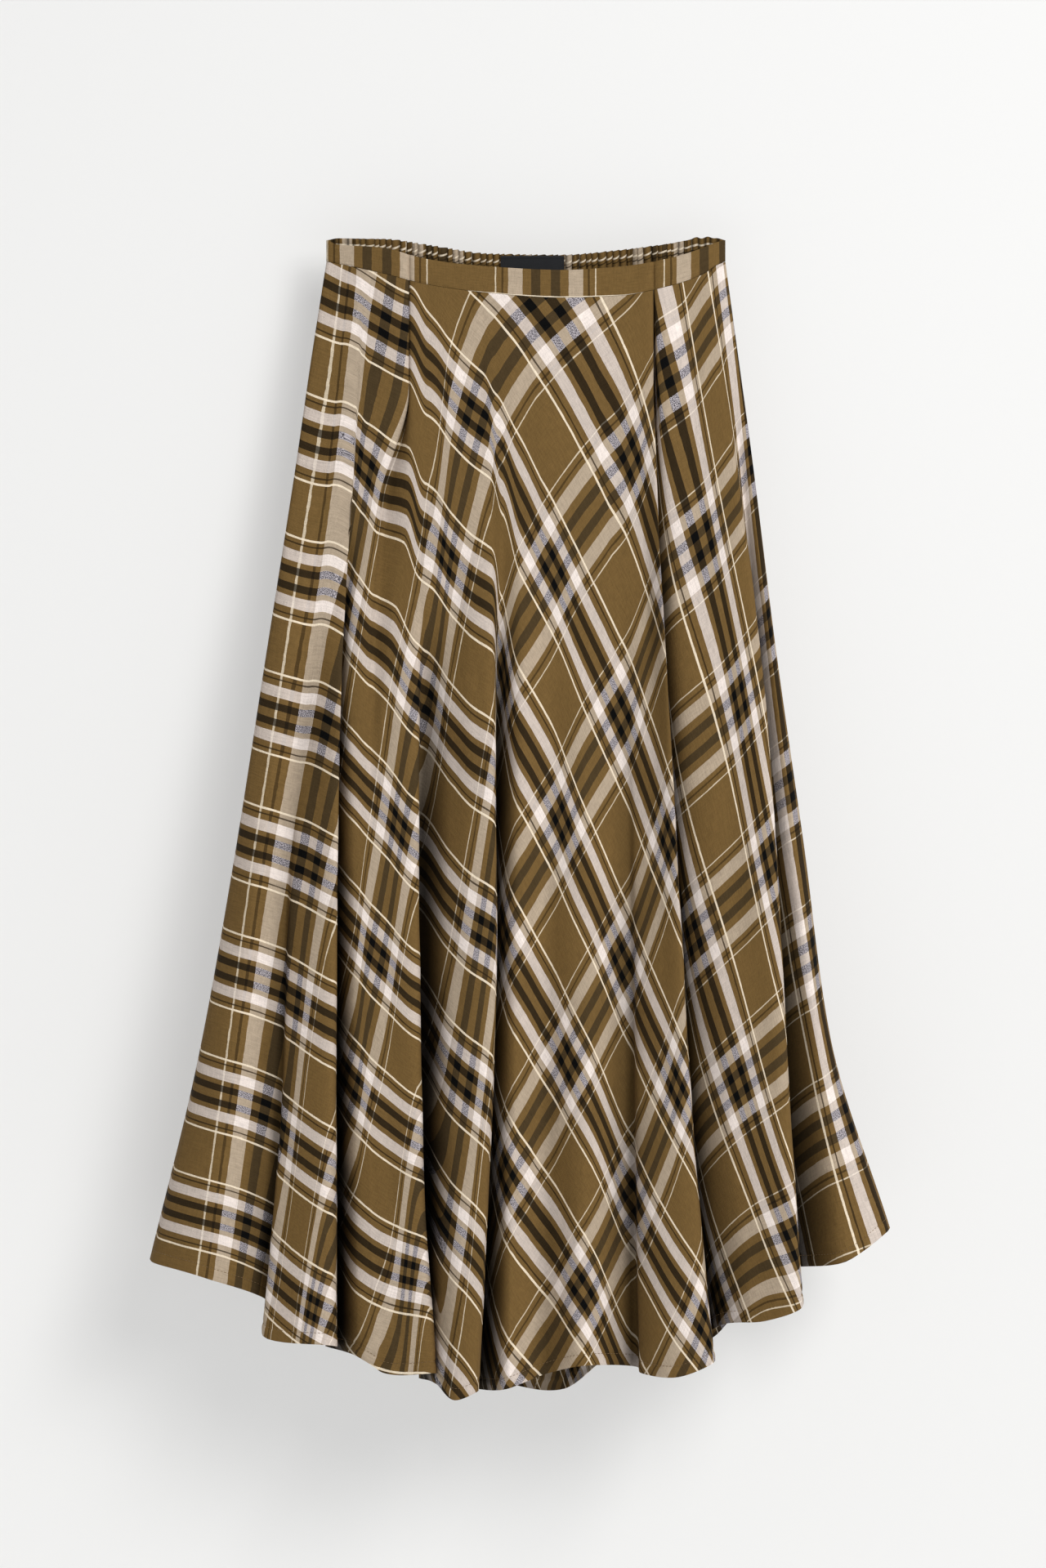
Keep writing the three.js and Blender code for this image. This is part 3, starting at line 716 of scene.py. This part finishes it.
def connect(tree, socket, value):
    """Links a socket to another one, or gives it a plain value or colour."""
    if hasattr(value, "links"):
        tree.links.new(value, socket)
    elif isinstance(value, tuple):
        socket.default_value = value + (1,)
    else:
        socket.default_value = value


def math_node(tree, operation, a, b=None):
    n = tree.nodes.new("ShaderNodeMath")
    n.operation = operation
    connect(tree, n.inputs[0], a)
    if b is not None:
        connect(tree, n.inputs[1], b)
    return n.outputs[0]


def mix_colour(tree, factor, a, b, blend="MIX"):
    n = tree.nodes.new("ShaderNodeMix")
    n.data_type = "RGBA"
    n.blend_type = blend
    for socket, value in zip((n.inputs[0], n.inputs[6], n.inputs[7]), (factor, a, b)):
        connect(tree, socket, value)
    return n.outputs[2]


def noise_node(tree, vector, scale, detail=2.0):
    n = tree.nodes.new("ShaderNodeTexNoise")
    n.inputs["Scale"].default_value = scale
    n.inputs["Detail"].default_value = detail
    if vector is not None:
        tree.links.new(vector, n.inputs["Vector"])
    return n.outputs[0]


def relief(tree, shader, height, strength, distance):
    n = tree.nodes.new("ShaderNodeBump")
    n.inputs["Strength"].default_value = strength
    n.inputs["Distance"].default_value = distance
    tree.links.new(height, n.inputs["Height"])
    tree.links.new(n.outputs[0], shader.inputs["Normal"])


def stripe(tree, source, start, end):
    """1 where the source lies between start and end, elsewhere 0."""
    ramp = tree.nodes.new("ShaderNodeValToRGB")
    ramp.color_ramp.interpolation = "CONSTANT"
    elements = ramp.color_ramp.elements
    elements[0].position, elements[0].color = 0, (0, 0, 0, 1)
    elements[1].position, elements[1].color = start, (1, 1, 1, 1)
    elements.new(end).color = (0, 0, 0, 1)
    tree.links.new(source, ramp.inputs[0])
    return ramp.outputs[0]


def uv_channels(tree, name):
    """A UV map, and its two coordinates."""
    uv = tree.nodes.new("ShaderNodeUVMap")
    uv.uv_map = name
    split = tree.nodes.new("ShaderNodeSeparateXYZ")
    tree.links.new(uv.outputs[0], split.inputs[0])
    return uv.outputs[0], split.outputs[0], split.outputs[1]


# Stripes out from the middle of a group, in shares of a repeat: where each starts and ends
DARK = (0.031, 0.084)
FINE_DARK = (0.25, 0.261)
ACROSS_LIGHT, DOWN_LIGHT = (0.135, 0.222), (0.122, 0.206)
ACROSS_FINE_LIGHT, DOWN_FINE_LIGHT = (0.291, 0.300), (0.289, 0.303)
HALF_REPEAT = 0.494              # a little under a half, for what the stripes' wander adds
WANDER = 0.007

BROWN = (0.170, 0.101, 0.034)
ACROSS_DARK_COLOUR, DOWN_DARK_COLOUR = (0.068, 0.044, 0.019), (0.006, 0.005, 0.004)
ACROSS_LIGHT_COLOUR, WHITEST = (0.450, 0.358, 0.262), (0.86, 0.765, 0.71)
ACROSS_FINE_COLOUR, DOWN_FINE_COLOUR = (0.045, 0.026, 0.009), (0.03, 0.018, 0.007)
ACROSS_WHITE_COLOUR, DOWN_WHITE_COLOUR = (0.90, 0.78, 0.60), (0.93, 0.80, 0.62)
BLACK = (0.003, 0.003, 0.003)
SPECKLE_DARK, SPECKLE_LIGHT = (0.035, 0.034, 0.042), (0.60, 0.55, 0.58)
SPECKLE_FROM, SPECKLE_TO = 0.40, 0.62

# Noise in a millimetre of cloth: the crepe's grain, threads that swell along their length, patches
GRAIN, GRAIN_DETAIL = 1.5, 3.0
SLUB, SLUB_ALONG, SLUB_ACROSS = 0.9, 0.12, 0.8
PATCH = 0.02
SLUB_U_SHADE, SLUB_V_SHADE, GRAIN_SHADE, BASE_SHADE = 0.46, 0.34, 0.42, 0.39
PATCH_SHADE, PATCH_BASE = 0.16, 0.92
# How much the shade painted between two folds darkens the cloth
HOLLOW_PAINTED_SHADE = 0.88
ROUGH_GRAIN, ROUGH_BASE = 0.25, 0.68
CREPE_U, CREPE_V, CREPE_GRAIN = 0.5, 0.4, 0.9
CREPE_STRENGTH, CREPE_HEIGHT = 0.8, 0.0007


def check_cloth():
    material, tree, shader = new_material("checked_cloth")
    links = tree.links

    def add(a, b):
        return math_node(tree, "ADD", a, b)

    def times(a, b):
        return math_node(tree, "MULTIPLY", a, b)

    uv, u, v = uv_channels(tree, "check")
    scaled = tree.nodes.new("ShaderNodeVectorMath")
    scaled.operation = "MULTIPLY"
    scaled.inputs[1].default_value = (ACROSS_REPEAT / MM, DOWN_REPEAT / MM, 1)
    links.new(uv, scaled.inputs[0])

    def noise(scale, detail=2.0, stretch=(1, 1, 1)):
        mapping = tree.nodes.new("ShaderNodeMapping")
        mapping.inputs["Scale"].default_value = stretch
        links.new(scaled.outputs[0], mapping.inputs["Vector"])
        return noise_node(tree, mapping.outputs[0], scale, detail)

    grain = noise(GRAIN, GRAIN_DETAIL)
    slub_u = noise(SLUB, stretch=(SLUB_ALONG, SLUB_ACROSS, 1))
    slub_v = noise(SLUB, stretch=(SLUB_ACROSS, SLUB_ALONG, 1))
    patch = noise(PATCH)

    def from_group(coordinate, wander):
        """How far a point is from the middle of the nearest group, in repeats."""
        moved = add(coordinate, times(wander, WANDER))
        turned = math_node(tree, "FRACT", add(moved, HALF_REPEAT))
        return math_node(tree, "ABSOLUTE", math_node(tree, "SUBTRACT", turned, 0.5))

    across = from_group(u, slub_v)
    down = from_group(v, slub_u)
    a_dark, a_light, a_fine, a_white = (
        stripe(tree, across, *ends) for ends in (DARK, ACROSS_LIGHT, FINE_DARK, ACROSS_FINE_LIGHT))
    d_dark, d_light, d_fine, d_white = (
        stripe(tree, down, *ends) for ends in (DARK, DOWN_LIGHT, FINE_DARK, DOWN_FINE_LIGHT))

    # A light stripe over a dark one shows both threads as a blue-grey speckle
    fleck = tree.nodes.new("ShaderNodeMapRange")
    fleck.inputs["From Min"].default_value = SPECKLE_FROM
    fleck.inputs["From Max"].default_value = SPECKLE_TO
    links.new(grain, fleck.inputs["Value"])
    speckle = mix_colour(tree, fleck.outputs[0], SPECKLE_DARK, SPECKLE_LIGHT)
    crossing = math_node(tree, "MAXIMUM", times(a_light, d_dark), times(a_dark, d_light))

    colour = BROWN
    for where, cover, over in (
        (a_dark, 1, ACROSS_DARK_COLOUR),
        (a_light, 1, ACROSS_LIGHT_COLOUR),
        (a_fine, 0.75, ACROSS_FINE_COLOUR),
        (a_white, 0.62, ACROSS_WHITE_COLOUR),
        (d_light, 0.62, WHITEST),
        (times(a_light, d_light), 1, WHITEST),
        (d_dark, 0.84, DOWN_DARK_COLOUR),
        (d_fine, 0.85, DOWN_FINE_COLOUR),
        (d_white, 0.85, DOWN_WHITE_COLOUR),
        (crossing, 1, speckle),
        (times(a_dark, d_dark), 1, BLACK),
    ):
        colour = mix_colour(tree, times(where, cover), colour, over)

    # Threads of uneven shade, the crepe's fine grain, and the shade painted between two folds and on
    # the inner side
    threads = add(times(slub_u, SLUB_U_SHADE), times(slub_v, SLUB_V_SHADE))
    threads = add(threads, times(grain, GRAIN_SHADE))
    thread_tone_and_painted_shade = times(add(threads, BASE_SHADE), add(times(patch, PATCH_SHADE), PATCH_BASE))
    # The "place" map's first coordinate is how much shade is painted there
    _, painted_hollow_shade, _ = uv_channels(tree, "place")
    thread_tone_and_painted_shade = times(thread_tone_and_painted_shade, math_node(tree, "SUBTRACT", 1.0, times(painted_hollow_shade, HOLLOW_PAINTED_SHADE)))
    grey = tree.nodes.new("ShaderNodeCombineColor")
    for socket in list(grey.inputs)[:3]:
        links.new(thread_tone_and_painted_shade, socket)
    links.new(mix_colour(tree, 1.0, colour, grey.outputs[0], "MULTIPLY"), shader.inputs["Base Color"])

    links.new(add(times(grain, ROUGH_GRAIN), ROUGH_BASE), shader.inputs["Roughness"])
    shader.inputs["Specular IOR Level"].default_value = 0.05
    shader.inputs["Sheen Weight"].default_value = 0.01
    shader.inputs["Sheen Roughness"].default_value = 0.5
    crepe = add(times(slub_u, CREPE_U), add(times(slub_v, CREPE_V), times(grain, CREPE_GRAIN)))
    relief(tree, shader, crepe, CREPE_STRENGTH, CREPE_HEIGHT)
    return material


def ribbon_black():
    material, tree, shader = new_material("label_ribbon")
    coords = tree.nodes.new("ShaderNodeTexCoord").outputs["Object"]
    weave = tree.nodes.new("ShaderNodeTexWave")
    weave.wave_type = "BANDS"
    weave.bands_direction = "X"
    weave.inputs["Scale"].default_value = 620
    weave.inputs["Distortion"].default_value = 1.2
    tree.links.new(coords, weave.inputs["Vector"])
    noise = noise_node(tree, coords, 1400)
    tree.links.new(mix_colour(tree, noise, (0.004, 0.0045, 0.006), (0.011, 0.012, 0.015)),
                   shader.inputs["Base Color"])
    rough = math_node(tree, "ADD", math_node(tree, "MULTIPLY", noise, 0.2), 0.36)
    tree.links.new(rough, shader.inputs["Roughness"])
    shader.inputs["Sheen Weight"].default_value = 0.01
    shader.inputs["Specular IOR Level"].default_value = 0.15
    threads = math_node(tree, "ADD", weave.outputs[1], noise)
    relief(tree, shader, threads, strength=0.4, distance=0.0002)
    return material


def thread_material():
    material, tree, shader = new_material("sewing_thread")
    coords = tree.nodes.new("ShaderNodeTexCoord").outputs["Object"]
    noise = noise_node(tree, coords, 2500)
    tree.links.new(mix_colour(tree, noise, (0.15, 0.09, 0.035), (0.24, 0.145, 0.06)),
                   shader.inputs["Base Color"])
    shader.inputs["Roughness"].default_value = 0.6
    return material


def plain(name, colour, roughness):
    material, tree, shader = new_material(name)
    low = tuple(c * 0.985 for c in colour)
    mixed = mix_colour(tree, noise_node(tree, None, 3), low, colour)
    tree.links.new(mixed, shader.inputs["Base Color"])
    shader.inputs["Roughness"].default_value = roughness
    return material


# The pieces

cloth = check_cloth()
front, back = panel_front(), panel_back()
waist_front, waist_back = band_front(), band_back()
for piece, cad_node in ((front, "panel_front"), (back, "panel_back"),
                        (waist_front, "waistband_front"), (waist_back, "waistband_back")):
    piece.data.materials.append(cloth)
    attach(piece, "root")
    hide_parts(cad_node)

label = waist_label()
label.data.materials.append(ribbon_black())
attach(label, "root")
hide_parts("label")

thread = thread_material()
for stitches in (hem_stitches("hem_stitches_front", front, len(FRONT_ROWS), -1),
                 hem_stitches("hem_stitches_back", back, len(BACK_ROWS), 1)):
    stitches.data.materials.append(thread)
    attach(stitches, "root")

# Wall, floor and light, in metres

# The skirt leans on the wall, so the wall is nearer to its waist than to its hem
WALL_FOOT, WALL_TOP, WALL_TOP_Z = 0.152, -0.22, 3
FLOOR_Z, FLOOR_FRONT, HALF_WIDTH = -1.15, -5, 4
WALL_GLOW = 0.415


def backdrop(name, near, far, material):
    """A plane as wide as the wall, from one edge to another, each given as y and z."""
    mesh = bpy.data.meshes.new(name)
    corners = [(-HALF_WIDTH, *near), (HALF_WIDTH, *near), (HALF_WIDTH, *far), (-HALF_WIDTH, *far)]
    mesh.from_pydata(corners, [], [(0, 1, 2, 3)])
    mesh.update()
    obj = place_object(name, mesh)
    obj.data.materials.append(material)


wall_paint = plain("wall_paint", (0.46, 0.46, 0.455), 0.9)
glow = wall_paint.node_tree.nodes["Principled BSDF"].inputs
glow["Emission Color"].default_value = (1, 1, 0.998, 1)
glow["Emission Strength"].default_value = WALL_GLOW
backdrop("wall", (WALL_FOOT, FLOOR_Z), (WALL_TOP, WALL_TOP_Z), wall_paint)
backdrop("floor", (FLOOR_FRONT, FLOOR_Z), (WALL_FOOT, FLOOR_Z), wall_paint)


def light(name, kind, energy, travels):
    obj = place_object(name, bpy.data.lights.new(name, kind))
    obj.data.energy = energy
    obj.rotation_euler = Vector(travels).to_track_quat("-Z", "Y").to_euler()
    return obj


key = light("key", "SUN", energy=1.3, travels=(-0.52, 1.0, -0.62))
key.data.angle = math.radians(24)
key.data.color = (1, 0.99, 0.97)

softbox = light("softbox", "AREA", energy=21, travels=(-1.15, 1.9, -1.0))
softbox.data.shape = "DISK"
softbox.data.size = 0.9
softbox.location = (1.15, -1.9, 0.55)

world = bpy.data.worlds.new("studio")
bpy.context.scene.world = world
world.use_nodes = True
background = world.node_tree.nodes["Background"].inputs
background["Color"].default_value = (0.98, 0.99, 1, 1)
background["Strength"].default_value = 0.27
